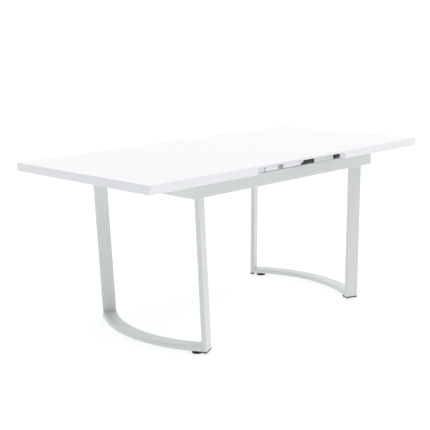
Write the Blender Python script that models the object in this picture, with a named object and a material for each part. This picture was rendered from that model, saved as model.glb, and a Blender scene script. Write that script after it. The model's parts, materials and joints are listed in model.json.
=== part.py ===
"""Extendable dining table: two sliding half tops, a folded leaf stored under them, and a welded steel frame.

Metres, +Z up. The origin is on the floor under the middle of the table, +X runs along its length.
"""
import math

import bmesh
import bpy
from mathutils import Vector

# Driving dimensions: the top
TOP_LENGTH = 1.70           # closed
TOP_WIDTH = 0.88
TABLE_HEIGHT = 0.76
BOARD_THICKNESS = 0.010
EDGE_HEIGHT = 0.036         # board and edge frame together
EDGE_WIDTH = 0.040
CORNER_RADIUS = 0.010
CORNER_STEPS = 6
CROSS_BATTEN_WIDTH = 0.036
BATTEN_RECESS = 0.002       # of the batten's ends behind the top's long edges
SLIDE_TRAVEL = 0.235        # each half top, and the width of one leaf panel
LEAF_THICKNESS = 0.0085     # one panel
LEAF_CLEARANCE = 0.0010     # between the stored leaf and the boards above it
LEAF_SIDE_CLEARANCE = 0.011  # between the stored leaf and the left cross batten

# The welded frame
SIDE_OVERHANG = 0.070       # of the top past the long rails
END_OVERHANG = 0.278
APRON_DROP = 0.102          # from the top's upper face to the rails' underside
APRON_HEIGHT = 0.0555
APRON_WIDTH = 0.040
END_RAIL_HEIGHT = 0.048
CROSS_RAIL_X = 0.120
CROSS_RAIL_WIDTH = 0.030
CROSS_RAIL_HEIGHT = 0.025
CROSS_RAIL_LIFT = 0.004     # above the long rails' underside
TUBE_WALL = 0.0015
CORNER_PLATE_SIZE = 0.085
CORNER_PLATE_THICKNESS = 0.004
POST_WIDTH = 0.060
POST_DEPTH = 0.020
POST_TURN = math.radians(26.0)
POST_LEAN = 0.033           # outward run over rise
POST_SETBACK = 0.0856       # of a post's foot from the long rail's end
POST_INSET = 0.0541         # of a post's foot from the long rail's outer face
FLOOR_RAIL_WIDTH = 0.060
FLOOR_RAIL_HEIGHT = 0.020
FLOOR_RAIL_BOTTOM = 0.0145
ARC_STEPS = 44

# Plugs and levelling feet
PLUG_CAP = 0.0057
PLUG_STUB = 0.013
PLUG_PLAY = 0.001           # round the plug's stub
FOOT_RADIUS = 0.023
FOOT_HEIGHT = 0.0110
FOOT_EASE = 0.001
FOOT_SKIRT = 0.007          # height of the disc's upright side
FOOT_SLOPE = 0.004          # run of the slope above it
FOOT_NECK_RADIUS = 0.0075
FOOT_INSET = 0.031          # along the floor rail, from the post
STUD_RADIUS = 0.004
STUD_HEADROOM = 0.0025      # between the stud and the rail's upper wall
DRILL_OVERRUN = 0.002

# Guides and runners
GUIDE_WIDTH = 0.026
GUIDE_HEIGHT = 0.020
GUIDE_WALL = 0.002
GUIDE_LIP = 0.003
GUIDE_TOP_WALL = 0.0015
GUIDE_LEAF_GAP = 0.0027     # between the guide and the leaf's underside
RUNNER_NECK_PLAY = 0.001    # each side of the runner's neck
RUNNER_CLEARANCE = 0.0003
RUNNER_SETBACK = 0.006      # of the runner's inner end, from the middle

# Synchronising gear
GEAR_MODULE = 0.002
PINION_TEETH = 18
PRESSURE_ANGLE = math.radians(20.0)
PINION_ADDENDUM = 0.95      # in modules, as the next two
RACK_ADDENDUM = 0.90
DEDENDUM = 1.25
FLANK_STEPS = 5
BACKLASH = 0.00035
GEAR_HEIGHT = 0.0096
RACK_BACK = 0.0075          # rack behind its tooth roots
RACK_PHASE = 0.5            # places a rack gap where a pinion tooth points
RACK_OVERRUN = 0.020        # past the travel, so the teeth still mesh when fully open
RACK_FOOT_LENGTH = 0.021
AXLE_RADIUS = 0.00395
AXLE_PLAY = 0.0001
AXLE_HEAD_LIP = 0.003
AXLE_HEAD_HEIGHT = 0.002
RACK_GUIDE_WALL = 0.003
GEAR_BASE_HALF_LENGTH = 0.137
GEAR_COVER_HALF_LENGTH = 0.060
GEAR_COVER_THICKNESS = 0.002

# Leaf hinge, arms, brackets and small fittings
HINGE_BARREL = 0.0025
HINGE_PIN = 0.0010
HINGE_PIN_PLAY = 0.0002
HINGE_PLATE = 0.0010
HINGE_PLATE_WIDTH = 0.018
HINGE_KNUCKLE = 0.078
ARM_PLATE = 0.0032
ARM_REACH_X = 0.066
ARM_TIP_X = -0.022
ARM_SLOPE = 0.035           # run of the arm's slanted end
ARM_RAISE = 0.0008          # of the arm's lower edge above the leaf's underside
ARM_DROP = 0.0005           # of its upper edge below the leaf's upper face
ARM_WEB = 0.006
ARM_LINK_DEPTH = 0.006      # across the table
ARM_LINK_GAP = 0.006        # behind the bracket
ARM_LINK_RELIEF = 0.0005    # of the link's edges inside the plate's
ARM_PIVOT_END = 0.012       # of the arm past its pivot
ARM_PIN_RADIUS = 0.003
ARM_PIN_RECESS = 0.001
ARM_PIN_LENGTH = 0.019
BRACKET_LEAD = 0.096        # from the bracket's start to the right cross batten
BRACKET_LENGTH = 0.134
BRACKET_TALL = 0.085
BRACKET_THICKNESS = 0.006
BRACKET_PIVOT = 0.025       # from the bracket's start to the pin
CLIP_INSET = 0.077          # from the leaf's outer edge
CLIP_LENGTH = 0.025
REST_INSET = 0.020          # from the leaf's edges
REST_SETBACK = 0.014        # from the long rail's outer face
REST_WIDTH = 0.012
CATCH_LENGTH = 0.028
CATCH_DEPTH = 0.014
CATCH_RECESS = 0.004

GAP = 0.0003                # between pieces that touch
LOOSE = 0.0005              # around pins in plain holes

# Derived plan sizes
APRON_HALF_LENGTH = TOP_LENGTH / 2 - END_OVERHANG
APRON_HALF_WIDTH = TOP_WIDTH / 2 - SIDE_OVERHANG
APRON_INNER = APRON_HALF_WIDTH - APRON_WIDTH
END_RAIL_INNER = APRON_HALF_LENGTH - APRON_WIDTH
POST_FOOT_X = APRON_HALF_LENGTH - POST_SETBACK
POST_FOOT_Y = APRON_HALF_WIDTH - POST_INSET
FLOOR_RAIL_RADIUS = math.hypot(POST_FOOT_X, POST_FOOT_Y)     # of its middle line, about the table's centre
FLOOR_RAIL_HALF_ANGLE = math.atan2(POST_FOOT_Y, POST_FOOT_X)
GUIDE_MID_Y = APRON_INNER - GAP - GUIDE_WIDTH / 2
LEAF_HALF_WIDTH = TOP_WIDTH / 2 - ARM_PLATE - 2 * GAP
BATTEN_FACE = SLIDE_TRAVEL + LEAF_SIDE_CLEARANCE
CUTOUT_HALF = BATTEN_FACE + CROSS_BATTEN_WIDTH      # where the edge frame stops, from the middle
BRACKET_START = BATTEN_FACE - BRACKET_LEAD
ARM_PIVOT_X = BRACKET_START + BRACKET_PIVOT
CLIP_START = CLIP_INSET - SLIDE_TRAVEL
HINGE_KNUCKLES = math.floor(2 * LEAF_HALF_WIDTH / HINGE_KNUCKLE)
HINGE_BORE = HINGE_PIN + HINGE_PIN_PLAY
AXLE_BORE = AXLE_RADIUS + AXLE_PLAY
PITCH_RADIUS = GEAR_MODULE * PINION_TEETH / 2
RACK_ROOT = PITCH_RADIUS + DEDENDUM * GEAR_MODULE
RACK_OUTER = RACK_ROOT + RACK_BACK

# Derived heights
BOARD_BOTTOM = TABLE_HEIGHT - BOARD_THICKNESS
EDGE_BOTTOM = TABLE_HEIGHT - EDGE_HEIGHT
LEAF_TOP = BOARD_BOTTOM - LEAF_CLEARANCE
LEAF_BOTTOM = LEAF_TOP - 2 * LEAF_THICKNESS - GAP
LEAF_PLANE = LEAF_TOP - LEAF_THICKNESS - GAP / 2
ARM_LOW = LEAF_BOTTOM + ARM_RAISE
ARM_HIGH = LEAF_TOP - ARM_DROP
APRON_BOTTOM = TABLE_HEIGHT - APRON_DROP
APRON_TOP = APRON_BOTTOM + APRON_HEIGHT
GUIDE_TOP = LEAF_BOTTOM - GUIDE_LEAF_GAP
GUIDE_BOTTOM = GUIDE_TOP - GUIDE_HEIGHT
CROSS_RAIL_BOTTOM = APRON_BOTTOM + CROSS_RAIL_LIFT
CROSS_RAIL_TOP = CROSS_RAIL_BOTTOM + CROSS_RAIL_HEIGHT
GEAR_BASE_BOTTOM = CROSS_RAIL_TOP + GAP
GEAR_BASE_TOP = GEAR_BASE_BOTTOM + RACK_GUIDE_WALL
GEAR_BOTTOM = GEAR_BASE_TOP + GAP
GEAR_TOP = GEAR_BOTTOM + GEAR_HEIGHT
STUD_TOP = FLOOR_RAIL_BOTTOM + FLOOR_RAIL_HEIGHT - TUBE_WALL - STUD_HEADROOM


def clear_scene():
    for item in list(bpy.data.objects):
        bpy.data.objects.remove(item, do_unlink=True)


def material(name, colour, roughness, metallic=0.0):
    made = bpy.data.materials.new(name)
    made.use_nodes = True
    shader = made.node_tree.nodes["Principled BSDF"]
    shader.inputs["Base Color"].default_value = (*colour, 1.0)
    shader.inputs["Roughness"].default_value = roughness
    shader.inputs["Metallic"].default_value = metallic
    return made


def add_object(name, mesh, finish, smooth=False):
    made = bpy.data.objects.new(name, mesh)
    bpy.context.collection.objects.link(made)
    mesh.materials.append(finish)
    if smooth:
        mesh.shade_smooth()
        mesh.set_sharp_from_angle(angle=math.radians(35))
    return made


def loft(name, rings, finish, holes=(), smooth=False):
    """Join rings of points into one closed skin; with holes (rings inside each ring) it is an open tube."""
    mesh = bpy.data.meshes.new(name)
    build = bmesh.new()
    walls = [[[build.verts.new(p) for p in ring] for ring in rings]]
    if holes:
        walls.append([[build.verts.new(p) for p in ring] for ring in holes])
    for wall in walls:
        for low, high in zip(wall, wall[1:]):
            for i in range(len(low)):
                j = (i + 1) % len(low)
                build.faces.new((low[i], low[j], high[j], high[i]))
    for end in (0, -1):
        if holes:
            outer, inner = walls[0][end], walls[1][end]
            for i in range(len(outer)):
                j = (i + 1) % len(outer)
                build.faces.new((outer[i], outer[j], inner[j], inner[i]))
        else:
            build.faces.new(walls[0][end])
    bmesh.ops.recalc_face_normals(build, faces=build.faces)
    build.to_mesh(mesh)
    build.free()
    return add_object(name, mesh, finish, smooth)


def prism(name, outline, axis, low, high, finish, smooth=False):
    """Extrude a flat outline along an axis; the outline's coordinates are the other two, in X, Y, Z order."""
    def place(point, level):
        values = list(point)
        values.insert("XYZ".index(axis), level)
        return Vector(values)
    rings = [[place(p, low) for p in outline], [place(p, high) for p in outline]]
    return loft(name, rings, finish, smooth=smooth)


def box(name, low, high, finish):
    outline = [(low[0], low[1]), (high[0], low[1]), (high[0], high[1]), (low[0], high[1])]
    return prism(name, outline, "Z", low[2], high[2], finish)


def turned(name, profile, centre, finish, sides=40):
    """Revolve (radius, height) points about a vertical axis through centre; both ends close on the axis."""
    mesh = bpy.data.meshes.new(name)
    build = bmesh.new()
    rings = []
    for radius, height in profile:
        ring = []
        for i in range(sides):
            turn = 2 * math.pi * i / sides
            ring.append(build.verts.new((radius * math.cos(turn), radius * math.sin(turn), height)))
        rings.append(ring)
    for low, high in zip(rings, rings[1:]):
        for i in range(sides):
            j = (i + 1) % sides
            build.faces.new((low[i], low[j], high[j], high[i]))
    build.faces.new(rings[0])
    build.faces.new(rings[-1])
    bmesh.ops.recalc_face_normals(build, faces=build.faces)
    build.to_mesh(mesh)
    build.free()
    made = add_object(name, mesh, finish, smooth=True)
    made.location = centre
    return made


def rod_y(name, radius, centre_x, centre_z, low, high, finish, sides=24):
    circle = [(centre_x + radius * math.cos(2 * math.pi * i / sides),
               centre_z + radius * math.sin(2 * math.pi * i / sides)) for i in range(sides)]
    return prism(name, circle, "Y", low, high, finish, smooth=True)


def hide_tool(tool):
    tool.hide_render = True
    tool.display_type = "WIRE"
    tool.hide_set(True)


def combine(target, tool, operation):
    change = target.modifiers.new(operation.lower(), "BOOLEAN")
    change.operation = operation
    change.object = tool
    hide_tool(tool)


def span(a, b):
    return min(a, b), max(a, b)


def rounded_end(outer_x, half_width, inner_x, inward=()):
    """Plan outline of a half: square at inner_x, corners rounded at outer_x, with optional inner points."""
    side = 1 if outer_x > 0 else -1
    points = [(inner_x, -half_width)]
    for sign, first in ((-1, -90), (1, 0)):
        for i in range(CORNER_STEPS + 1):
            turn = math.radians(first + 90 * i / CORNER_STEPS)
            points.append((outer_x - side * CORNER_RADIUS * (1 - math.cos(turn)),
                           sign * (half_width - CORNER_RADIUS) + CORNER_RADIUS * math.sin(turn)))
    points.append((inner_x, half_width))
    return points + list(inward)


def make_half_top(side, word, white, core):
    half = TOP_WIDTH / 2
    outer = side * TOP_LENGTH / 2
    prism("top_board_" + word, rounded_end(outer, half, side * GAP), "Z", BOARD_BOTTOM, TABLE_HEIGHT, white)
    cut = side * CUTOUT_HALF
    inside = half - EDGE_WIDTH
    inner_end = outer - side * EDGE_WIDTH
    ring = [(cut, inside), (inner_end, inside), (inner_end, -inside), (cut, -inside)]
    prism("edge_frame_" + word, rounded_end(outer, half, cut, ring), "Z",
          EDGE_BOTTOM, BOARD_BOTTOM - GAP, white)
    low_x, high_x = span(side * BATTEN_FACE, cut - side * GAP)
    end = half - BATTEN_RECESS
    box("cross_batten_" + word, (low_x, -end, LEAF_BOTTOM), (high_x, end, BOARD_BOTTOM - GAP), core)


def leaf_panel(name, face, away, white):
    """One leaf panel as a strip along Y, with a rabbet for the hinge plate on the side that it folds on."""
    depth = HINGE_PLATE + GAP if away > face else -HINGE_PLATE - GAP
    shelf = -HINGE_PLATE_WIDTH - 2 * GAP
    outline = [(-SLIDE_TRAVEL, away), (-SLIDE_TRAVEL, face), (shelf, face), (shelf, face + depth),
               (-GAP, face + depth), (-GAP, away)]
    prism(name, outline, "Y", -LEAF_HALF_WIDTH, LEAF_HALF_WIDTH, white)


def hinge_leaf(name, sign, parity, steel):
    """Half of the long hinge: a plate with tongues, and the knuckles on them."""
    start = -HINGE_KNUCKLE * HINGE_KNUCKLES / 2
    near, far = LEAF_PLANE + sign * GAP / 2, LEAF_PLANE + sign * (GAP / 2 + HINGE_PLATE)
    tongue = HINGE_BARREL - (HINGE_BARREL + HINGE_BORE) / 2 + GAP
    outline = [(-HINGE_PLATE_WIDTH, start), (-GAP, start)]
    knuckles = range(parity, HINGE_KNUCKLES, 2)
    for i in knuckles:
        low = start + HINGE_KNUCKLE * i + 2 * GAP
        high = low + HINGE_KNUCKLE - 4 * GAP
        outline += [(-GAP, low), (tongue, low), (tongue, high), (-GAP, high)]
    end = start + HINGE_KNUCKLE * HINGE_KNUCKLES
    outline += [(-GAP, end), (-HINGE_PLATE_WIDTH, end)]
    plate = prism(name, outline, "Z", min(near, far), max(near, far), steel)
    for i in knuckles:
        low = start + HINGE_KNUCKLE * i + GAP
        barrel = hinge_tube(name + "_barrel_%d" % i, low, low + HINGE_KNUCKLE - 2 * GAP, steel)
        combine(plate, barrel, "UNION")


def hinge_tube(name, low, high, steel, sides=20):
    def circle(radius, level):
        return [Vector((GAP + HINGE_BARREL + radius * math.cos(2 * math.pi * i / sides), level,
                        LEAF_PLANE + radius * math.sin(2 * math.pi * i / sides))) for i in range(sides)]
    return loft(name, [circle(HINGE_BARREL, low), circle(HINGE_BARREL, high)], steel,
                holes=[circle(HINGE_BORE, low), circle(HINGE_BORE, high)])


def make_leaf(white, paint, steel, black, grey):
    leaf_panel("leaf_panel_lower", LEAF_PLANE - GAP / 2, LEAF_BOTTOM, white)
    leaf_panel("leaf_panel_upper", LEAF_PLANE + GAP / 2, LEAF_TOP, white)
    hinge_leaf("leaf_hinge_lower", -1, 0, steel)
    hinge_leaf("leaf_hinge_upper", 1, 1, steel)
    reach = HINGE_KNUCKLE * HINGE_KNUCKLES / 2
    rod_y("leaf_hinge_pin", HINGE_PIN, GAP + HINGE_BARREL, LEAF_PLANE, -reach, reach, steel, sides=16)
    for side, word in ((-1, "front"), (1, "back")):
        make_leaf_arm(side, word, black, steel)
        make_leaf_fittings(side, word, paint, black, grey)


def pivot_hole(side, word, finish):
    """The drill that both the arm and its bracket are bored with."""
    overrun = side * (APRON_HALF_WIDTH + ARM_LINK_GAP)
    return rod_y("pivot_hole_" + word, ARM_PIN_RADIUS + LOOSE, ARM_PIVOT_X, (ARM_LOW + ARM_HIGH) / 2,
                 *span(overrun, side * (APRON_HALF_WIDTH - APRON_WIDTH)), finish)


def make_leaf_arm(side, word, black, steel):
    """The black arm on the leaf's edge, cranked inward to its pivot pin."""
    outer = side * (TOP_WIDTH / 2 - GAP)
    inner = side * (TOP_WIDTH / 2 - GAP - ARM_PLATE)
    plate = [(ARM_TIP_X, ARM_LOW), (ARM_REACH_X, ARM_LOW), (ARM_REACH_X, ARM_HIGH),
             (ARM_TIP_X + ARM_SLOPE, ARM_HIGH)]
    arm = prism("leaf_arm_" + word, plate, "Y", *span(outer, inner), black)
    link_outer = side * (APRON_HALF_WIDTH - BRACKET_THICKNESS - ARM_LINK_GAP)
    link_inner = side * (APRON_HALF_WIDTH - BRACKET_THICKNESS - ARM_LINK_GAP - ARM_LINK_DEPTH)
    web = ARM_REACH_X - ARM_WEB
    end = ARM_PIVOT_X + ARM_PIVOT_END
    bent = [(web, outer), (ARM_REACH_X, outer), (ARM_REACH_X, link_outer), (end, link_outer),
            (end, link_inner), (web, link_inner)]
    link = prism("leaf_arm_link_" + word, bent, "Z",
                 ARM_LOW + ARM_LINK_RELIEF, ARM_HIGH - ARM_LINK_RELIEF, black)
    combine(arm, link, "UNION")
    combine(arm, pivot_hole(side, "arm_" + word, black), "DIFFERENCE")
    pin_outer = APRON_HALF_WIDTH - ARM_PIN_RECESS
    rod_y("arm_pivot_pin_" + word, ARM_PIN_RADIUS, ARM_PIVOT_X, (ARM_LOW + ARM_HIGH) / 2,
          *span(side * pin_outer, side * (pin_outer - ARM_PIN_LENGTH)), steel)


def make_leaf_fittings(side, word, paint, black, grey):
    """Painted bracket and leaf rest on the long rail, clip on the leaf's edge, catch on the batten."""
    foot = APRON_TOP + GAP
    low_top = LEAF_BOTTOM - 2 * GAP
    start, end, tall = BRACKET_START, BRACKET_START + BRACKET_LENGTH, BRACKET_START + BRACKET_TALL
    tab = [(start, foot), (end, foot), (end, low_top), (tall, low_top), (tall, ARM_HIGH), (start, ARM_HIGH)]
    bracket = prism("pivot_bracket_" + word, tab, "Y",
                    *span(side * APRON_HALF_WIDTH, side * (APRON_HALF_WIDTH - BRACKET_THICKNESS)), paint)
    combine(bracket, pivot_hole(side, "bracket_" + word, paint), "DIFFERENCE")
    outer = side * (TOP_WIDTH / 2 - GAP)
    inner = side * (TOP_WIDTH / 2 - GAP - ARM_PLATE)
    low_y, high_y = span(outer, inner)
    box("leaf_clip_" + word, (CLIP_START, low_y, ARM_LOW), (CLIP_START + CLIP_LENGTH, high_y, ARM_HIGH), grey)
    rest_outer = APRON_HALF_WIDTH - REST_SETBACK
    low_y, high_y = span(side * rest_outer, side * (rest_outer - REST_WIDTH))
    box("leaf_rest_" + word, (REST_INSET - SLIDE_TRAVEL, low_y, foot),
        (-REST_INSET, high_y, LEAF_BOTTOM - GAP), black)
    catch_outer = TOP_WIDTH / 2 - CATCH_RECESS
    low_y, high_y = span(side * catch_outer, side * (catch_outer - CATCH_DEPTH))
    end = BATTEN_FACE - GAP
    box("leaf_catch_" + word, (end - CATCH_LENGTH, low_y, ARM_LOW), (end, high_y, ARM_HIGH), black)


def square_tube(name, low, high, along, finish):
    """Open rectangular tube along X or Y."""
    along_x = along == "X"

    def ring(level, inset):
        across = (low[1] + inset, high[1] - inset) if along_x else (low[0] + inset, high[0] - inset)
        upright = (low[2] + inset, high[2] - inset)
        corners = [(across[i], upright[j]) for i, j in ((0, 0), (1, 0), (1, 1), (0, 1))]
        return [Vector((level, a, z) if along_x else (a, level, z)) for a, z in corners]
    ends = (low[0], high[0]) if along_x else (low[1], high[1])
    loft(name, [ring(end, 0.0) for end in ends], finish, holes=[ring(end, TUBE_WALL) for end in ends])


def make_frame(paint):
    long_x = APRON_HALF_LENGTH
    for side, word in ((-1, "front"), (1, "back")):
        low_y, high_y = span(side * APRON_HALF_WIDTH, side * APRON_INNER)
        square_tube("apron_" + word, (-long_x, low_y, APRON_BOTTOM), (long_x, high_y, APRON_TOP), "X", paint)
    inner = APRON_INNER - GAP
    for side, word in ((-1, "left"), (1, "right")):
        low_x, high_x = span(side * long_x, side * END_RAIL_INNER)
        square_tube("end_rail_" + word, (low_x, -inner, APRON_BOTTOM),
                    (high_x, inner, APRON_BOTTOM + END_RAIL_HEIGHT), "Y", paint)
        middle = side * CROSS_RAIL_X
        square_tube("cross_rail_" + word, (middle - CROSS_RAIL_WIDTH / 2, -inner, CROSS_RAIL_BOTTOM),
                    (middle + CROSS_RAIL_WIDTH / 2, inner, CROSS_RAIL_TOP), "Y", paint)
        for back, place in ((-1, "front"), (1, "back")):
            corner_x, corner_y = side * (END_RAIL_INNER - GAP), back * inner
            reach = CORNER_PLATE_SIZE
            far_x, far_y = corner_x - side * reach, corner_y - back * reach
            outline = [(corner_x, corner_y), (far_x, corner_y), (far_x, corner_y - back * reach / 2),
                       (corner_x - side * reach / 2, far_y), (corner_x, far_y)]
            prism("corner_plate_%s_%s" % (word, place), outline, "Z", APRON_BOTTOM,
                  APRON_BOTTOM + CORNER_PLATE_THICKNESS, paint)


def post_ring(side, back, level, width, depth):
    """Plan corners of a post section at a height: turned about the vertical, and leaning outward."""
    radial = Vector((math.cos(POST_TURN), math.sin(POST_TURN)))
    tangent = Vector((-math.sin(POST_TURN), math.cos(POST_TURN)))
    foot = Vector((POST_FOOT_X, POST_FOOT_Y))
    centre = foot + tangent * POST_DEPTH / 2 + Vector((POST_LEAN * level, 0))
    ring = []
    for u, v in ((-1, -1), (1, -1), (1, 1), (-1, 1)):
        corner = centre + radial * u * width / 2 + tangent * v * depth / 2
        ring.append(Vector((side * corner.x, back * corner.y, level)))
    return ring


def post_plane_angle(radius):
    """Angle at which a floor rail circle meets the post's inner face at floor level, less the gap."""
    tangent = Vector((-math.sin(POST_TURN), math.cos(POST_TURN)))
    foot = Vector((POST_FOOT_X, POST_FOOT_Y))
    drift = POST_LEAN * (FLOOR_RAIL_BOTTOM + FLOOR_RAIL_HEIGHT) * abs(tangent.x)
    distance = tangent.dot(foot) - GAP - drift
    return POST_TURN + math.pi / 2 - math.acos(distance / radius)


def arc_point(side, radius, angle, level):
    return Vector((side * radius * math.cos(angle), radius * math.sin(angle), level))


def make_leg_frame(side, word, paint, black):
    half = FLOOR_RAIL_WIDTH / 2
    low, high = FLOOR_RAIL_BOTTOM, FLOOR_RAIL_BOTTOM + FLOOR_RAIL_HEIGHT

    def section(step, inset):
        points = []
        for offset, level in ((-half + inset, low + inset), (half - inset, low + inset),
                              (half - inset, high - inset), (-half + inset, high - inset)):
            radius = FLOOR_RAIL_RADIUS + offset
            reach = post_plane_angle(radius)
            points.append(arc_point(side, radius, reach * (2 * step / ARC_STEPS - 1), level))
        return points
    rail = loft("floor_rail_" + word, [section(i, 0.0) for i in range(ARC_STEPS + 1)], paint,
                holes=[section(i, TUBE_WALL) for i in range(ARC_STEPS + 1)], smooth=True)
    for back, place in ((-1, "front"), (1, "back")):
        label = "%s_%s" % (word, place)
        post_low, post_high = FLOOR_RAIL_BOTTOM, APRON_BOTTOM - GAP
        hollow = (POST_WIDTH - 2 * TUBE_WALL, POST_DEPTH - 2 * TUBE_WALL)
        outside = (POST_WIDTH, POST_DEPTH)
        loft("post_" + label, [post_ring(side, back, z, *outside) for z in (post_low, post_high)], paint,
             holes=[post_ring(side, back, z, *hollow) for z in (post_low, post_high)])
        cap_top = post_low - GAP
        stub = (hollow[0] - 2 * PLUG_PLAY, hollow[1] - 2 * PLUG_PLAY)
        plug = loft("post_plug_" + label,
                    [post_ring(side, back, z, *outside) for z in (cap_top - PLUG_CAP, cap_top)], black)
        levels = (cap_top - PLUG_CAP / 2, cap_top + PLUG_STUB)
        core = loft("plug_core_" + label, [post_ring(side, back, z, *stub) for z in levels], black)
        combine(plug, core, "UNION")
        angle = FLOOR_RAIL_HALF_ANGLE - FOOT_INSET / FLOOR_RAIL_RADIUS
        centre = arc_point(side, FLOOR_RAIL_RADIUS, back * angle, 0.0)
        neck_top = FLOOR_RAIL_BOTTOM - GAP
        profile = [(FOOT_RADIUS - FOOT_EASE, 0.0), (FOOT_RADIUS, FOOT_EASE), (FOOT_RADIUS, FOOT_SKIRT),
                   (FOOT_RADIUS - FOOT_SLOPE, FOOT_HEIGHT), (FOOT_NECK_RADIUS, FOOT_HEIGHT),
                   (FOOT_NECK_RADIUS, neck_top), (STUD_RADIUS, neck_top), (STUD_RADIUS, STUD_TOP)]
        turned("levelling_foot_" + label, profile, centre, black)
        bore = STUD_RADIUS + LOOSE
        drill_top = low + TUBE_WALL + DRILL_OVERRUN
        drill = turned("foot_drill_" + label, [(bore, low - DRILL_OVERRUN), (bore, drill_top)], centre, paint,
                       sides=24)
        combine(rail, drill, "DIFFERENCE")


def make_runners(alloy):
    """A lipped channel inside each long apron rail, and one runner for each half top in it."""
    half = GUIDE_WIDTH / 2
    slot = half - GUIDE_WALL
    mouth = slot - GUIDE_LIP
    lip_low = GUIDE_TOP - GUIDE_TOP_WALL
    floor = GUIDE_BOTTOM + GUIDE_WALL
    channel = [(-half, GUIDE_BOTTOM), (half, GUIDE_BOTTOM), (half, GUIDE_TOP), (mouth, GUIDE_TOP),
               (mouth, lip_low), (slot, lip_low), (slot, floor), (-slot, floor), (-slot, lip_low),
               (-mouth, lip_low), (-mouth, GUIDE_TOP), (-half, GUIDE_TOP)]
    body, neck = slot - RUNNER_CLEARANCE, mouth - RUNNER_NECK_PLAY
    body_low, body_high = floor + RUNNER_CLEARANCE, lip_low - RUNNER_CLEARANCE
    neck_top = LEAF_BOTTOM - GAP
    bar = [(-body, body_low), (body, body_low), (body, body_high), (neck, body_high), (neck, neck_top),
           (-neck, neck_top), (-neck, body_high), (-body, body_high)]
    reach = END_RAIL_INNER - GAP
    for back, place in ((-1, "front"), (1, "back")):
        middle = back * GUIDE_MID_Y
        prism("guide_" + place, [(middle + y, z) for y, z in channel], "X", -reach, reach, alloy)
        for side, word in ((-1, "left"), (1, "right")):
            low_x, high_x = span(side * RUNNER_SETBACK, side * (reach - RUNNER_SETBACK))
            section = [(middle + y, z) for y, z in bar]
            prism("runner_%s_%s" % (word, place), section, "X", low_x, high_x, alloy)


def involute_flank(base, radius):
    roll = math.sqrt(max((radius / base) ** 2 - 1, 0.0))
    return roll - math.atan(roll)


def make_pinion(plastic):
    base = PITCH_RADIUS * math.cos(PRESSURE_ANGLE)
    tip = PITCH_RADIUS + PINION_ADDENDUM * GEAR_MODULE
    root = PITCH_RADIUS - DEDENDUM * GEAR_MODULE
    half = (math.pi * GEAR_MODULE / 2 - BACKLASH) / 2 / PITCH_RADIUS
    at_pitch = involute_flank(base, PITCH_RADIUS)
    flank = []
    for i in range(FLANK_STEPS + 1):
        radius = base + (tip - base) * i / FLANK_STEPS
        flank.append((radius, half + at_pitch - involute_flank(base, radius)))
    flank.insert(0, (root, half + at_pitch))
    outline = []
    for tooth in range(PINION_TEETH):
        middle = 2 * math.pi * (tooth + 0.5) / PINION_TEETH
        side = [(r, middle - a) for r, a in flank] + [(r, middle + a) for r, a in reversed(flank)]
        outline += [(r * math.cos(a), r * math.sin(a)) for r, a in side]
    gear = prism("pinion", outline, "Z", GEAR_BOTTOM + GAP, GEAR_TOP - GAP, plastic)
    reach = [(AXLE_BORE, GEAR_BOTTOM - DRILL_OVERRUN), (AXLE_BORE, GEAR_TOP + DRILL_OVERRUN)]
    bore = turned("pinion_bore", reach, (0, 0, 0), plastic, sides=48)
    combine(gear, bore, "DIFFERENCE")


def make_rack(side, word, plastic):
    """A toothed bar past the pinion, and its foot that reaches up to the half top's cross batten."""
    pitch = math.pi * GEAR_MODULE
    slant = math.tan(PRESSURE_ANGLE)
    tip, root = RACK_ADDENDUM * GEAR_MODULE, DEDENDUM * GEAR_MODULE
    half = (pitch / 2 - BACKLASH) / 2
    far = CUTOUT_HALF - GAP
    near = SLIDE_TRAVEL + RACK_OVERRUN
    first = math.ceil((-far + CROSS_BATTEN_WIDTH) / pitch)
    outline = []
    tooth = first
    while tooth * pitch + pitch / 2 < near:
        centre = (tooth + RACK_PHASE) * pitch
        foot, point = half + root * slant, half - tip * slant
        outline += [(centre - foot, RACK_ROOT), (centre - point, PITCH_RADIUS - tip),
                    (centre + point, PITCH_RADIUS - tip), (centre + foot, RACK_ROOT)]
        tooth += 1
    outline = [(-far, RACK_ROOT)] + outline + [(near, RACK_ROOT), (near, RACK_OUTER), (-far, RACK_OUTER)]
    turn = -side
    outline = [(turn * x, turn * y) for x, y in outline]
    rack = prism("rack_" + word, outline, "Z", GEAR_BOTTOM, GEAR_TOP, plastic)
    low_x, high_x = span(side * far, side * (far - RACK_FOOT_LENGTH))
    low_y, high_y = span(turn * RACK_ROOT, turn * RACK_OUTER)
    post = box("rack_foot_" + word, (low_x, low_y, GEAR_BOTTOM), (high_x, high_y, LEAF_BOTTOM - GAP), plastic)
    combine(rack, post, "UNION")


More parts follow.
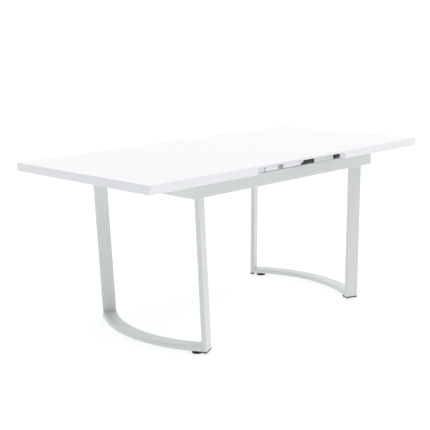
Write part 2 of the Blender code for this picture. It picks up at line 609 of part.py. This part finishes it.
def make_synchroniser(steel, plastic, alloy):
    wall_in = RACK_OUTER + GAP
    wall_out = wall_in + RACK_GUIDE_WALL
    trough = [(-wall_out, GEAR_BASE_BOTTOM), (wall_out, GEAR_BASE_BOTTOM),
              (wall_out, GEAR_TOP), (wall_in, GEAR_TOP), (wall_in, GEAR_BASE_TOP),
              (-wall_in, GEAR_BASE_TOP), (-wall_in, GEAR_TOP), (-wall_out, GEAR_TOP)]
    base = prism("gear_base", trough, "X", -GEAR_BASE_HALF_LENGTH, GEAR_BASE_HALF_LENGTH, alloy)
    cover_low = GEAR_TOP + GAP
    cover_high = cover_low + GEAR_COVER_THICKNESS
    cover = box("gear_cover", (-GEAR_COVER_HALF_LENGTH, -wall_out, cover_low),
                (GEAR_COVER_HALF_LENGTH, wall_out, cover_high), alloy)
    bore = AXLE_RADIUS + LOOSE
    levels = (GEAR_BASE_BOTTOM - DRILL_OVERRUN, cover_high + DRILL_OVERRUN)
    drill = turned("axle_drill", [(bore, z) for z in levels], (0, 0, 0), alloy, sides=32)
    combine(base, drill, "DIFFERENCE")
    combine(cover, drill, "DIFFERENCE")
    head, head_low = AXLE_RADIUS + AXLE_HEAD_LIP, cover_high + GAP
    turned("pinion_axle", [(AXLE_RADIUS, GEAR_BASE_BOTTOM), (AXLE_RADIUS, head_low), (head, head_low),
                           (head, head_low + AXLE_HEAD_HEIGHT)], (0, 0, 0), steel, sides=48)
    make_pinion(plastic)
    make_rack(-1, "left", plastic)
    make_rack(1, "right", plastic)


clear_scene()
WHITE = material("white_lacquer", (0.90, 0.90, 0.92), 0.22)
CORE = material("white_foil", (0.80, 0.80, 0.83), 0.45)
FRAME_PAINT = material("frame_paint", (0.60, 0.64, 0.62), 0.42, 0.25)
BLACK = material("black_plastic", (0.015, 0.015, 0.016), 0.5)
GREY = material("grey_plastic", (0.30, 0.30, 0.32), 0.45)
STEEL = material("zinc_steel", (0.55, 0.56, 0.58), 0.35, 1.0)
ALLOY = material("aluminium", (0.70, 0.71, 0.72), 0.32, 1.0)
NYLON = material("nylon", (0.78, 0.77, 0.72), 0.5)

for half_side, half_word in ((-1, "left"), (1, "right")):
    make_half_top(half_side, half_word, WHITE, CORE)
    make_leg_frame(half_side, half_word, FRAME_PAINT, BLACK)
make_leaf(WHITE, FRAME_PAINT, STEEL, BLACK, GREY)
make_frame(FRAME_PAINT)
make_runners(ALLOY)
make_synchroniser(STEEL, NYLON, ALLOY)
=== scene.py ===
"""Looks of the extendable dining table: lacquered halves, painted steel frame, fittings, camera and light."""
import json
import math

import bmesh
import bpy
from mathutils import Matrix, Vector


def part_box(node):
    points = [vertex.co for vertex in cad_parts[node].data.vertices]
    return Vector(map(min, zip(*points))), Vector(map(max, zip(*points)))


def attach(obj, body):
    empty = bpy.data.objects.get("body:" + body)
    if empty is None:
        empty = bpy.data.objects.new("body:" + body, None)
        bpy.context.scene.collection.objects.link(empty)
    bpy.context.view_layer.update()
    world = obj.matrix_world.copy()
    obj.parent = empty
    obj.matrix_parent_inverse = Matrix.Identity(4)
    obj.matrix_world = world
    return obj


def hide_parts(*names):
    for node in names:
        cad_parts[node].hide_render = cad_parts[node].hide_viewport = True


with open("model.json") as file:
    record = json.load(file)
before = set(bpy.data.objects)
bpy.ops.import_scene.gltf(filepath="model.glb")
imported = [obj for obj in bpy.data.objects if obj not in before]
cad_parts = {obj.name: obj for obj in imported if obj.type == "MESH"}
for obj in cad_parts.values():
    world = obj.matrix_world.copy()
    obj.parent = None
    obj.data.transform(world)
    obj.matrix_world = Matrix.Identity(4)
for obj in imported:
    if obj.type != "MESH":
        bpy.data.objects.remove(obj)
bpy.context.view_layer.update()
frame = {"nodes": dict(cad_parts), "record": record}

# Sizes, in metres
SLAB_EASE = 0.0022          # rounding of the lacquered edges
SLAB_EASE_STEPS = 4
SLAB_CORNER = 0.010         # rounded vertical corners of the top
SLAB_CORNER_STEPS = 12
CUT_PAST = 0.02             # how far the cutting shape reaches past the slab
BATTEN_EASE = 0.0010
PANEL_EASE = 0.0007         # stored leaf panels
TUBE_CORNER = 0.0028        # outer corner radius of the steel tubes
TUBE_CORNER_STEPS = 5
TUBE_EASE = 0.0008          # rounding of a tube's ends
RAIL_EASE = 0.0004          # the same, on the end rails and cross rails
PLATE_EASE = 0.0006
BRACKET_EASE = 0.0008
PLUG_EASE = 0.0012
PLUG_EASE_STEPS = 3
FITTING_EASE = 0.0005
WELD_RADIUS = 0.0016
WELD_STEP = 0.0012          # distance between the rings of a weld bead
WELD_SINK = 0.3             # share of the radius that lies below the seam
WELD_SIDES = 8
WELD_RIPPLE = 0.14          # share of the radius
WELD_RIPPLE_RINGS = 3
WELD_END = 0.4              # share of the radius at the ends
SCREW_HEAD = 0.0036         # radius
SCREW_SIDES = 24
SCREW_CROSS = 1.9           # reach of the cross's arms, against the rest of its ring
SCREW_RECESS = 0.5          # rings of a smaller share than this carry the cross
# A screw head's rings from its rim inward: shares of its radius, outward and upward
SCREW_RINGS = ((0.85, -0.10), (1.0, 0.0), (1.0, 0.12), (0.86, 0.30), (0.60, 0.44), (0.32, 0.50), (0.30, 0.22))
TURNED_SIDES = 48

# How close two vertices of a CAD mesh lie to count as the same, in metres
SAME_VERTEX = 0.00001
SAME_CORNER = 0.0005
SAME_LEVEL = 0.001
SAME_RADIUS = 0.0002
EDGE_LEAST = 0.02           # the arms of an edge frame are wider than this

# Angles between faces, in degrees
FLAT_ANGLE = 1.0            # faces that are made one again
BEVEL_ANGLE = 30            # edges sharper than this are rounded
SMOOTH_ANGLE = 40           # edges sharper than this stay sharp in the shading, and so below
BEVEL_SMOOTH = 50
TURNED_SMOOTH = 32
SCREW_SMOOTH = 30
WELD_SMOOTH = 60

# Levelling foot, in metres
FOOT_NECK_GAP = 0.0004      # between the neck and the floor rail above it
FOOT_NECK = 0.0085          # reach of the hexagonal neck
FOOT_NECK_TOP = 0.0078      # the same, above its eased edge
FOOT_NECK_START = 0.0108    # height
FOOT_NECK_EASE = 0.0006
FOOT_STUD = 0.0040          # radius
FOOT_NECK_SIDES = 6
# The disc from the floor up: how far inside the rim, and how high
FOOT_DISC = ((0.0030, 0.0), (0.0010, 0.0003), (0.0, 0.0014), (0.0, 0.0062), (0.0007, 0.0076),
             (0.0035, 0.0092), (0.0090, 0.0104))

# Finishes
GRAIN_DETAIL = 3.0
GRAIN_ROUGHNESS = 0.6
GLOSS_FINER = 7             # the gloss varies in patches this much smaller than the colour's
GLOSS_DETAIL = 4.0
COAT_ROUGHNESS = 0.12

# Where the screws stand
GUIDE_SCREWS = (-0.46, -0.20, 0.20, 0.46)   # along a guide, in metres
REST_SCREWS = (0.15, 0.85)                  # shares of a leaf rest's length

# Camera
CAMERA_PLACE = (-2.757, -2.766, 1.300)
CAMERA_HEADING = 44.73      # degrees from +Y towards +X
CAMERA_TILT = 10.74         # degrees below the horizon
CAMERA_ROLL = -1.10         # degrees
CAMERA_LENS = 72.0          # millimetres
CAMERA_SENSOR = 36.0
CAMERA_SHIFT = (-0.032, -0.053)

# Light
SURROUND_COLOUR = (0.90, 0.945, 1.0, 1)
SURROUND_STRENGTH = 0.68
KEY_FROM = (0.16, -0.28, 1.0)
KEY_SPREAD = 70.0           # degrees
KEY_POWER = 1.42
KEY_COLOUR = (1.0, 0.965, 0.91)
FLOOR_GLOW = 0.74
GLOW_COLOUR = (0.975, 0.985, 1.0, 1)
SHADE_FROM = (-0.87, -0.49, 0.0)    # where the surround is darkest
SHADE = 0.55                # share of the surround taken away there
SHADE_START = 0.1           # cosine to that direction at which the shade sets in
LAMP_DISTANCE = 4.0

# Floor, in metres
FLOOR_REACH = 30.0
FLOOR_SWEEP = 30.0          # to each side
FLOOR_BEND_START = 2.6
FLOOR_BEND = 1.6            # radius
FLOOR_BEND_STEPS = 12
FLOOR_TOP = 6.0
FLOOR_DARK = (0.36, 0.36, 0.36)
FLOOR_LIGHT = (0.38, 0.38, 0.38)
FLOOR_PATCH = 0.6
FLOOR_ROUGHNESS = 0.75

SIDES = ((-1, "left"), (1, "right"))


# ---------------------------------------------------------------- materials

def node_material(name):
    made = bpy.data.materials.new(name)
    made.use_nodes = True
    tree = made.node_tree
    return made, tree, tree.nodes["Principled BSDF"]


def texture_space(tree, stretch=(1, 1, 1)):
    coordinates = tree.nodes.new("ShaderNodeTexCoord")
    mapping = tree.nodes.new("ShaderNodeMapping")
    mapping.inputs["Scale"].default_value = stretch
    tree.links.new(coordinates.outputs["Object"], mapping.inputs["Vector"])
    return mapping.outputs["Vector"]


def noise(tree, vector, scale, detail=2.0, roughness=0.5):
    made = tree.nodes.new("ShaderNodeTexNoise")
    made.inputs["Scale"].default_value = scale
    made.inputs["Detail"].default_value = detail
    made.inputs["Roughness"].default_value = roughness
    tree.links.new(vector, made.inputs["Vector"])
    return made.outputs["Fac"]


def spread(tree, value, low, high, start=0.2, end=0.8):
    """Map a noise value onto a range."""
    made = tree.nodes.new("ShaderNodeMapRange")
    made.inputs["From Min"].default_value = start
    made.inputs["From Max"].default_value = end
    made.inputs["To Min"].default_value = low
    made.inputs["To Max"].default_value = high
    tree.links.new(value, made.inputs["Value"])
    return made.outputs["Result"]


def two_tone(tree, value, dark, light, start=0.3, end=0.7):
    ramp = tree.nodes.new("ShaderNodeValToRGB")
    ramp.color_ramp.elements[0].position = start
    ramp.color_ramp.elements[0].color = (*dark, 1)
    ramp.color_ramp.elements[1].position = end
    ramp.color_ramp.elements[1].color = (*light, 1)
    tree.links.new(value, ramp.inputs["Fac"])
    return ramp.outputs["Color"]


def relief(tree, shader, value, strength, depth):
    bump = tree.nodes.new("ShaderNodeBump")
    bump.inputs["Strength"].default_value = strength
    bump.inputs["Distance"].default_value = depth
    tree.links.new(value, bump.inputs["Height"])
    tree.links.new(bump.outputs["Normal"], shader.inputs["Normal"])


def grained(name, dark, light, rough, patch, grain, strength, depth, metallic=0.0, stretch=(1, 1, 1),
            coat=0.0):
    """A finish with slow colour drift, fine surface grain and uneven gloss."""
    made, tree, shader = node_material(name)
    space = texture_space(tree, stretch)
    drift = noise(tree, space, patch, GRAIN_DETAIL)
    tree.links.new(two_tone(tree, drift, dark, light), shader.inputs["Base Color"])
    fine = noise(tree, space, grain, GRAIN_DETAIL, GRAIN_ROUGHNESS)
    gloss = noise(tree, space, patch * GLOSS_FINER, GLOSS_DETAIL)
    tree.links.new(spread(tree, gloss, *rough), shader.inputs["Roughness"])
    relief(tree, shader, fine, strength, depth)
    shader.inputs["Metallic"].default_value = metallic
    shader.inputs["Coat Weight"].default_value = coat
    shader.inputs["Coat Roughness"].default_value = COAT_ROUGHNESS
    return made


LACQUER = grained("white_lacquer_finish", (0.864, 0.866, 0.876), (0.874, 0.876, 0.885), rough=(0.30, 0.33),
                  patch=0.8, grain=160, strength=0.006, depth=0.00005, coat=0.1)
FOIL = grained("white_foil_finish", (0.72, 0.71, 0.76), (0.76, 0.755, 0.80), rough=(0.42, 0.55),
               patch=6, grain=700, strength=0.06, depth=0.0003)
PAINT = grained("frame_paint_finish", (0.700, 0.728, 0.698), (0.724, 0.752, 0.722), rough=(0.38, 0.50),
                patch=5, grain=1500, strength=0.10, depth=0.0002, metallic=0.22, coat=0.08)
BLACK = grained("black_plastic_finish", (0.010, 0.010, 0.011), (0.020, 0.020, 0.021), rough=(0.42, 0.60),
                patch=30, grain=1800, strength=0.25, depth=0.0002)
GREY = grained("grey_plastic_finish", (0.30, 0.295, 0.315), (0.37, 0.365, 0.385), rough=(0.38, 0.52),
               patch=40, grain=1600, strength=0.2, depth=0.0002)
ZINC = grained("zinc_steel_finish", (0.50, 0.51, 0.53), (0.64, 0.65, 0.67), rough=(0.26, 0.42),
               patch=60, grain=900, strength=0.12, depth=0.0002, metallic=1.0)
ALLOY = grained("aluminium_finish", (0.62, 0.63, 0.64), (0.74, 0.75, 0.76), rough=(0.24, 0.38),
                patch=30, grain=500, strength=0.16, depth=0.0002, metallic=1.0, stretch=(0.04, 1, 1))
NYLON = grained("nylon_finish", (0.70, 0.69, 0.63), (0.76, 0.75, 0.70), rough=(0.40, 0.55),
                patch=25, grain=900, strength=0.10, depth=0.0002)
FINISHES = {"white_lacquer": LACQUER, "white_foil": FOIL, "frame_paint": PAINT, "black_plastic": BLACK,
            "grey_plastic": GREY, "zinc_steel": ZINC, "aluminium": ALLOY, "nylon": NYLON}
SLOT_OF = {row["node"]: row["material_slot"] for row in frame["record"]["subparts"]}
BODY_OF = {node: body for body, nodes in frame["record"]["behaviour"]["bodies"].items() for node in nodes}


# ---------------------------------------------------------------- mesh tools

def make_piece(name, mesh, slot, body, replaced=()):
    piece = bpy.data.objects.new(name, mesh)
    bpy.context.scene.collection.objects.link(piece)
    mesh.materials.clear()
    mesh.materials.append(FINISHES[slot])
    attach(piece, body)
    if replaced:
        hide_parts(*replaced)
    return piece


def mesh_from(name, build):
    bmesh.ops.recalc_face_normals(build, faces=build.faces)
    mesh = bpy.data.meshes.new(name)
    build.to_mesh(mesh)
    build.free()
    return mesh


def smooth(mesh, angle=SMOOTH_ANGLE):
    mesh.shade_smooth()
    mesh.set_sharp_from_angle(angle=math.radians(angle))


def loft(name, rings):
    """A closed skin through rings of equal count, with flat ends."""
    build = bmesh.new()
    grid = [[build.verts.new(p) for p in ring] for ring in rings]
    for low, high in zip(grid, grid[1:]):
        for i in range(len(low)):
            j = (i + 1) % len(low)
            build.faces.new((low[i], low[j], high[j], high[i]))
    build.faces.new(grid[0])
    build.faces.new(grid[-1])
    return mesh_from(name, build)


def even_normals(piece):
    change = piece.modifiers.new("even_normals", "WEIGHTED_NORMAL")
    change.keep_sharp = True
    change.weight = 100


def round_edges(piece, width, segments):
    change = piece.modifiers.new("eased_edges", "BEVEL")
    change.width = width
    change.segments = segments
    change.limit_method = "ANGLE"
    change.angle_limit = math.radians(BEVEL_ANGLE)
    change.harden_normals = True
    change.use_clamp_overlap = True
    smooth(piece.data, BEVEL_SMOOTH)


def settle(piece):
    """Apply all of a piece's modifiers."""
    depsgraph = bpy.context.evaluated_depsgraph_get()
    mesh = bpy.data.meshes.new_from_object(piece.evaluated_get(depsgraph))
    piece.modifiers.clear()
    piece.data = mesh


def rounded_ring(corners, radius):
    """The ring of a four-sided section with rounded corners."""
    ring = []
    for i, corner in enumerate(corners):
        before = (corners[i - 1] - corner).normalized()
        after = (corners[(i + 1) % len(corners)] - corner).normalized()
        centre = corner + radius * (before + after)
        for k in range(TUBE_CORNER_STEPS + 1):
            turn = math.pi / 2 * k / TUBE_CORNER_STEPS
            ring.append(centre - radius * (after * math.cos(turn) + before * math.sin(turn)))
    return ring


def inset(corners, amount):
    result = []
    for i, corner in enumerate(corners):
        before = (corners[i - 1] - corner).normalized()
        after = (corners[(i + 1) % len(corners)] - corner).normalized()
        result.append(corner + amount * (before + after))
    return result


def bar(name, start, end, slot, body, replaced, ease=TUBE_EASE):
    """A straight bar between two four-cornered ends, its long corners rounded and its ends eased."""
    along = (sum(end, Vector()) - sum(start, Vector())).normalized()
    rings = []
    for corners, direction, order in ((start, along, (0, 1, 2)), (end, -along, (2, 1, 0))):
        for step in order:
            turn = math.pi / 4 * step
            shrunk = inset(corners, ease * (1 - math.sin(turn)))
            ring = rounded_ring(shrunk, TUBE_CORNER)
            rings.append([p + direction * ease * (1 - math.cos(turn)) for p in ring])
    mesh = loft(name, rings)
    smooth(mesh)
    even_normals(make_piece(name, mesh, slot, body, replaced))


def box_ends(low, high, axis):
    """The two ends of a box as lists of corners, in matching order."""
    a, b, c = axis, (axis + 1) % 3, (axis + 2) % 3
    ends = []
    for level in (low[a], high[a]):
        end = []
        for p, q in ((low[b], low[c]), (high[b], low[c]), (high[b], high[c]), (low[b], high[c])):
            corner = Vector()
            corner[a], corner[b], corner[c] = level, p, q
            end.append(corner)
        ends.append(end)
    return ends


def copy_clean(node):
    """The CAD node's shape as a fresh mesh with its flat faces whole again."""
    build = bmesh.new()
    build.from_mesh(frame["nodes"][node].data)
    bmesh.ops.remove_doubles(build, verts=build.verts, dist=SAME_VERTEX)
    bmesh.ops.dissolve_limit(build, angle_limit=math.radians(FLAT_ANGLE), verts=build.verts,
                             edges=build.edges)
    return mesh_from("eased_" + node, build)


def ease_node(node, width=FITTING_EASE, segments=2):
    """Replace a CAD fitting by the same shape with its edges eased."""
    piece = make_piece("eased_" + node, copy_clean(node), SLOT_OF[node], BODY_OF[node], (node,))
    round_edges(piece, width, segments)


def turned(name, profile, centre, slot, body, replaced, flats):
    """Revolve (radius, height) points; flats maps a profile row to a polygon's number of sides."""
    rings = []
    for row, (radius, height) in enumerate(profile):
        ring = []
        for i in range(TURNED_SIDES):
            turn = 2 * math.pi * i / TURNED_SIDES
            reach = radius
            if row in flats:
                count = flats[row]
                local = (turn + math.pi / count) % (2 * math.pi / count) - math.pi / count
                reach = radius * math.cos(math.pi / count) / math.cos(local)
            ring.append(Vector(centre) + Vector((reach * math.cos(turn), reach * math.sin(turn), height)))
        rings.append(ring)
    mesh = loft(name, rings)
    smooth(mesh, TURNED_SMOOTH)
    make_piece(name, mesh, slot, body, replaced)


# ---------------------------------------------------------------- the top

def plan_half(outer_x, half_width, inner_x):
    """Plan outline of a half top with its two outer corners rounded."""
    side = 1 if outer_x > 0 else -1
    points = [(inner_x, -half_width)]
    for sign, first in ((-1, -90), (1, 0)):
        for i in range(SLAB_CORNER_STEPS + 1):
            turn = math.radians(first + 90 * i / SLAB_CORNER_STEPS)
            points.append((outer_x - side * SLAB_CORNER * (1 - math.cos(turn)),
                           sign * (half_width - SLAB_CORNER) + SLAB_CORNER * math.sin(turn)))
    points.append((inner_x, half_width))
    return points


def upright(name, outline, low, high):
    mesh = loft(name, [[Vector((x, y, z)) for x, y in outline] for z in (low, high)])
    made = bpy.data.objects.new(name, mesh)
    bpy.context.scene.collection.objects.link(made)
    return made


def make_slab(side, word):
    """Board and edge frame as one lacquered piece, hollow below, stepped up at the cut-out."""
    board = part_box("top_board_" + word)
    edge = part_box("edge_frame_" + word)
    outer = board[0].x if side < 0 else board[1].x
    seam = board[1].x if side < 0 else board[0].x
    step = edge[1].x if side < 0 else edge[0].x
    half = board[1].y
    width = edge_width("edge_frame_" + word, half)
    block = upright("slab_block", plan_half(outer, half, seam), edge[0].z, board[1].z)
    inner, past = outer - side * width, half + CUT_PAST
    hollow = [(inner, -half + width), (step, -half + width), (step, -past), (-side * CUT_PAST, -past),
              (-side * CUT_PAST, past), (step, past), (step, half - width), (inner, half - width)]
    cutter = upright("slab_hollow", hollow, edge[0].z - CUT_PAST, board[0].z)
    cut = block.modifiers.new("hollow", "BOOLEAN")
    cut.operation = "DIFFERENCE"
    cut.object = cutter
    settle(block)
    bpy.data.objects.remove(cutter)
    mesh = block.data
    bpy.data.objects.remove(block)
    mesh.name = "top_slab_" + word
    piece = make_piece("top_slab_" + word, mesh, "white_lacquer", "top_" + word,
                       ("top_board_" + word, "edge_frame_" + word))
    round_edges(piece, SLAB_EASE, SLAB_EASE_STEPS)


def edge_width(node, half):
    """How wide the edge frame's long arms are, from its own corners."""
    inside = [abs(v.co.y) for v in frame["nodes"][node].data.vertices if abs(v.co.y) < half - EDGE_LEAST]
    return half - max(inside)


def make_top():
    for side, word in SIDES:
        make_slab(side, word)
        ease_node("cross_batten_" + word, BATTEN_EASE)
    for node in ("leaf_panel_lower", "leaf_panel_upper"):
        ease_node(node, PANEL_EASE)


# ---------------------------------------------------------------- the steel frame

def outer_corners(points):
    """The four outermost corners of a tube's section, in order round it."""
    centre = sum(points, Vector()) / len(points)
    unique = []
    for p in sorted(points, key=lambda q: -(q - centre).length):
        if all((p - q).length > SAME_CORNER for q in unique):
            unique.append(p)
    return sorted(unique[:4], key=lambda p: math.atan2(p.y - centre.y, p.x - centre.x))


def make_post(label):
    """A post between the corners of its CAD tube's two ends; gives back its upper corners."""
    node = "post_" + label
    low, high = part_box(node)
    points = [v.co.copy() for v in frame["nodes"][node].data.vertices]
    start = outer_corners([p for p in points if p.z < low.z + SAME_LEVEL])
    end = outer_corners([p for p in points if p.z > high.z - SAME_LEVEL])
    bar("painted_" + node, start, end, "frame_paint", "frame", (node,))
    return end


def make_floor_rail(word):
    """The curved rail, swept through the four corner lines of its CAD tube."""
    node = "floor_rail_" + word
    low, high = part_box(node)
    points = [v.co.copy() for v in frame["nodes"][node].data.vertices]
    reach = [math.hypot(p.x, p.y) for p in points]
    near, far = min(reach), max(reach)
    lines = []
    for radius, level in ((near, low.z), (far, low.z), (far, high.z), (near, high.z)):
        line = {}
        for p, r in zip(points, reach):
            if abs(r - radius) < SAME_RADIUS and abs(p.z - level) < SAME_RADIUS:
                line[round(p.y, 4)] = p
        lines.append([line[key] for key in sorted(line)])
    count = min(len(line) for line in lines)
    rings = [rounded_ring([line[i] for line in lines], TUBE_CORNER) for i in range(count)]
    mesh = loft("painted_" + node, rings)
    smooth(mesh)
    even_normals(make_piece("painted_" + node, mesh, "frame_paint", "frame", (node,)))


def weld(name, points):
    """A small rippled bead along a broken line."""
    spots = []
    for start, end in zip(points, points[1:]):
        count = max(2, int((end - start).length / WELD_STEP))
        spots += [start.lerp(end, i / count) for i in range(count)]
    spots.append(points[-1])
    rings = []
    for i, spot in enumerate(spots):
        ahead = (spots[min(i + 1, len(spots) - 1)] - spots[max(i - 1, 0)]).normalized()
        side = ahead.orthogonal().normalized()
        other = ahead.cross(side)
        size = WELD_RADIUS * (1 - WELD_RIPPLE + WELD_RIPPLE * math.cos(2 * math.pi * i / WELD_RIPPLE_RINGS))
        if i in (0, len(spots) - 1):
            size *= WELD_END
        rings.append([spot + size * (side * math.cos(a) + other * math.sin(a))
                      for a in (2 * math.pi * k / WELD_SIDES for k in range(WELD_SIDES))])
    mesh = loft(name, rings)
    smooth(mesh, WELD_SMOOTH)
    make_piece(name, mesh, "frame_paint", "frame")


def make_frame():
    for word in ("front", "back"):
        bar("painted_apron_" + word, *box_ends(*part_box("apron_" + word), 0), "frame_paint", "frame",
            ("apron_" + word,))
    for word in ("left", "right"):
        for node in ("end_rail_" + word, "cross_rail_" + word):
            bar("painted_" + node, *box_ends(*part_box(node), 1), "frame_paint", "frame", (node,),
                ease=RAIL_EASE)
        make_floor_rail(word)
        for place in ("front", "back"):
            label = word + "_" + place
            end = make_post(label)
            ease_node("corner_plate_" + label, PLATE_EASE)
            top = [p + Vector((0, 0, -WELD_RADIUS * WELD_SINK)) for p in end]
            weld("weld_top_" + label, top + top[:1])
    for word in ("front", "back"):
        ease_node("pivot_bracket_" + word, BRACKET_EASE)


# ---------------------------------------------------------------- fittings

def make_fittings():
    for word in ("front", "back"):
        for node in ("leaf_arm_", "leaf_clip_", "leaf_rest_", "leaf_catch_"):
            ease_node(node + word)
    for word in ("left", "right"):
        for place in ("front", "back"):
            label = word + "_" + place
            ease_node("post_plug_" + label, PLUG_EASE, PLUG_EASE_STEPS)
            make_foot(label)


def make_foot(label):
    node = "levelling_foot_" + label
    low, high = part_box(node)
    centre = ((low.x + high.x) / 2, (low.y + high.y) / 2, 0)
    radius = (high.x - low.x) / 2
    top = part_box("floor_rail_" + label.split("_")[0])[0].z - FOOT_NECK_GAP
    profile = [(radius - inside, height) for inside, height in FOOT_DISC]
    neck = [(FOOT_NECK, FOOT_NECK_START), (FOOT_NECK, top - FOOT_NECK_EASE), (FOOT_NECK_TOP, top)]
    flats = {len(profile) + row: FOOT_NECK_SIDES for row in range(len(neck))}
    profile += neck
    profile += [(FOOT_STUD, top), (FOOT_STUD, high.z)]
    turned("moulded_" + node, profile, centre, "black_plastic", BODY_OF[node], (node,), flats)


def screw(name, centre, normal, body):
    """A domed cross-head screw standing on a face."""
    normal = Vector(normal).normalized()
    side = normal.orthogonal().normalized()
    other = normal.cross(side)
    rings = []
    for reach, height in SCREW_RINGS:
        ring = []
        for i in range(SCREW_SIDES):
            turn = 2 * math.pi * i / SCREW_SIDES
            size = SCREW_HEAD * reach
            if reach < SCREW_RECESS and i % (SCREW_SIDES // 4) == 0:
                size *= SCREW_CROSS
            ring.append(Vector(centre) + normal * SCREW_HEAD * height
                        + size * (side * math.cos(turn) + other * math.sin(turn)))
        rings.append(ring)
    mesh = loft(name, rings)
    smooth(mesh, SCREW_SMOOTH)
    make_piece(name, mesh, "zinc_steel", body)


def make_screws():
    """Screws through the guides' floors and the leaf rests' outer sides."""
    for word in ("front", "back"):
        low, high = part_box("guide_" + word)
        middle = (low.y + high.y) / 2
        for i, x in enumerate(GUIDE_SCREWS):
            screw("guide_screw_%s_%d" % (word, i), (x, middle, low.z), (0, 0, -1), "frame")
        low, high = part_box("leaf_rest_" + word)
        outside = low.y if word == "front" else high.y
        for i, share in enumerate(REST_SCREWS):
            spot = (low.x + share * (high.x - low.x), outside, (low.z + high.z) / 2)
            screw("rest_screw_%s_%d" % (word, i), spot, (0, -1 if word == "front" else 1, 0), "frame")


def finish_cad_nodes():
    """CAD nodes that stay get their procedural finish in their own slots."""
    for name, node in frame["nodes"].items():
        finish = FINISHES[SLOT_OF[name]]
        if not node.data.materials:
            node.data.materials.append(finish)
        for index in range(len(node.data.materials)):
            node.data.materials[index] = finish


# ---------------------------------------------------------------- stage

def make_stage():
    """A pale, faintly glowing floor that curves up behind the object."""
    build = bmesh.new()
    profile = [(-FLOOR_REACH, 0.0), (FLOOR_BEND_START, 0.0)]
    for i in range(1, FLOOR_BEND_STEPS + 1):
        turn = math.pi / 2 * i / FLOOR_BEND_STEPS
        profile.append((FLOOR_BEND_START + FLOOR_BEND * math.sin(turn), FLOOR_BEND * (1 - math.cos(turn))))
    profile.append((FLOOR_BEND_START + FLOOR_BEND, FLOOR_TOP))
    heading = math.radians(CAMERA_HEADING)
    ahead = Vector((math.sin(heading), math.cos(heading), 0))
    across = Vector((ahead.y, -ahead.x, 0))
    rows = []
    for distance, height in profile:
        row = []
        for sweep in (-FLOOR_SWEEP, FLOOR_SWEEP):
            row.append(build.verts.new(ahead * distance + across * sweep + Vector((0, 0, height))))
        rows.append(row)
    for a, b in zip(rows, rows[1:]):
        build.faces.new((a[0], a[1], b[1], b[0]))
    mesh = mesh_from("floor", build)
    mesh.shade_smooth()
    floor = bpy.data.objects.new("floor", mesh)
    bpy.context.scene.collection.objects.link(floor)
    made, tree, shader = node_material("pale_floor")
    drift = noise(tree, texture_space(tree), FLOOR_PATCH)
    tree.links.new(two_tone(tree, drift, FLOOR_DARK, FLOOR_LIGHT), shader.inputs["Base Color"])
    shader.inputs["Roughness"].default_value = FLOOR_ROUGHNESS
    shader.inputs["Specular IOR Level"].default_value = 0.0
    shader.inputs["Emission Color"].default_value = GLOW_COLOUR
    shader.inputs["Emission Strength"].default_value = FLOOR_GLOW
    mesh.materials.append(made)


def sun_light(name, towards, spread_angle, power, colour):
    data = bpy.data.lights.new(name, "SUN")
    data.angle = math.radians(spread_angle)
    data.energy = power
    data.color = colour
    lamp = bpy.data.objects.new(name, data)
    bpy.context.scene.collection.objects.link(lamp)
    lamp.location = Vector(towards) * LAMP_DISTANCE
    lamp.rotation_euler = (-Vector(towards)).to_track_quat("-Z", "Y").to_euler()


def make_lights():
    """A broad soft key from above the front, in a pale surround that is darker at the left."""
    world = bpy.data.worlds.new("studio")
    world.use_nodes = True
    tree = world.node_tree
    background = tree.nodes["Background"]
    background.inputs["Color"].default_value = SURROUND_COLOUR
    coordinates = tree.nodes.new("ShaderNodeTexCoord")
    facing = tree.nodes.new("ShaderNodeVectorMath")
    facing.operation = "DOT_PRODUCT"
    facing.inputs[1].default_value = SHADE_FROM
    tree.links.new(coordinates.outputs["Generated"], facing.inputs[0])
    strength = spread(tree, facing.outputs["Value"], SURROUND_STRENGTH, SURROUND_STRENGTH * (1 - SHADE),
                      SHADE_START, 1.0)
    tree.links.new(strength, background.inputs["Strength"])
    bpy.context.scene.world = world
    sun_light("soft_key", KEY_FROM, KEY_SPREAD, KEY_POWER, KEY_COLOUR)


def make_camera():
    data = bpy.data.cameras.new("photo_view")
    data.lens = CAMERA_LENS
    data.sensor_width = CAMERA_SENSOR
    data.shift_x, data.shift_y = CAMERA_SHIFT
    camera = bpy.data.objects.new("photo_view", data)
    bpy.context.scene.collection.objects.link(camera)
    heading, tilt, roll = (math.radians(a) for a in (CAMERA_HEADING, CAMERA_TILT, CAMERA_ROLL))
    ahead = Vector((math.sin(heading) * math.cos(tilt), math.cos(heading) * math.cos(tilt), -math.sin(tilt)))
    right = ahead.cross(Vector((0, 0, 1))).normalized()
    up = right.cross(ahead)
    right, up = (right * math.cos(roll) + up * math.sin(roll), up * math.cos(roll) - right * math.sin(roll))
    turn = Matrix((right, up, -ahead)).transposed()
    camera.matrix_world = Matrix.Translation(CAMERA_PLACE) @ turn.to_4x4()
    bpy.context.scene.camera = camera


make_camera()
finish_cad_nodes()
make_top()
make_frame()
make_fittings()
make_screws()
make_stage()
make_lights()
bpy.context.scene.view_settings.view_transform = "Standard"
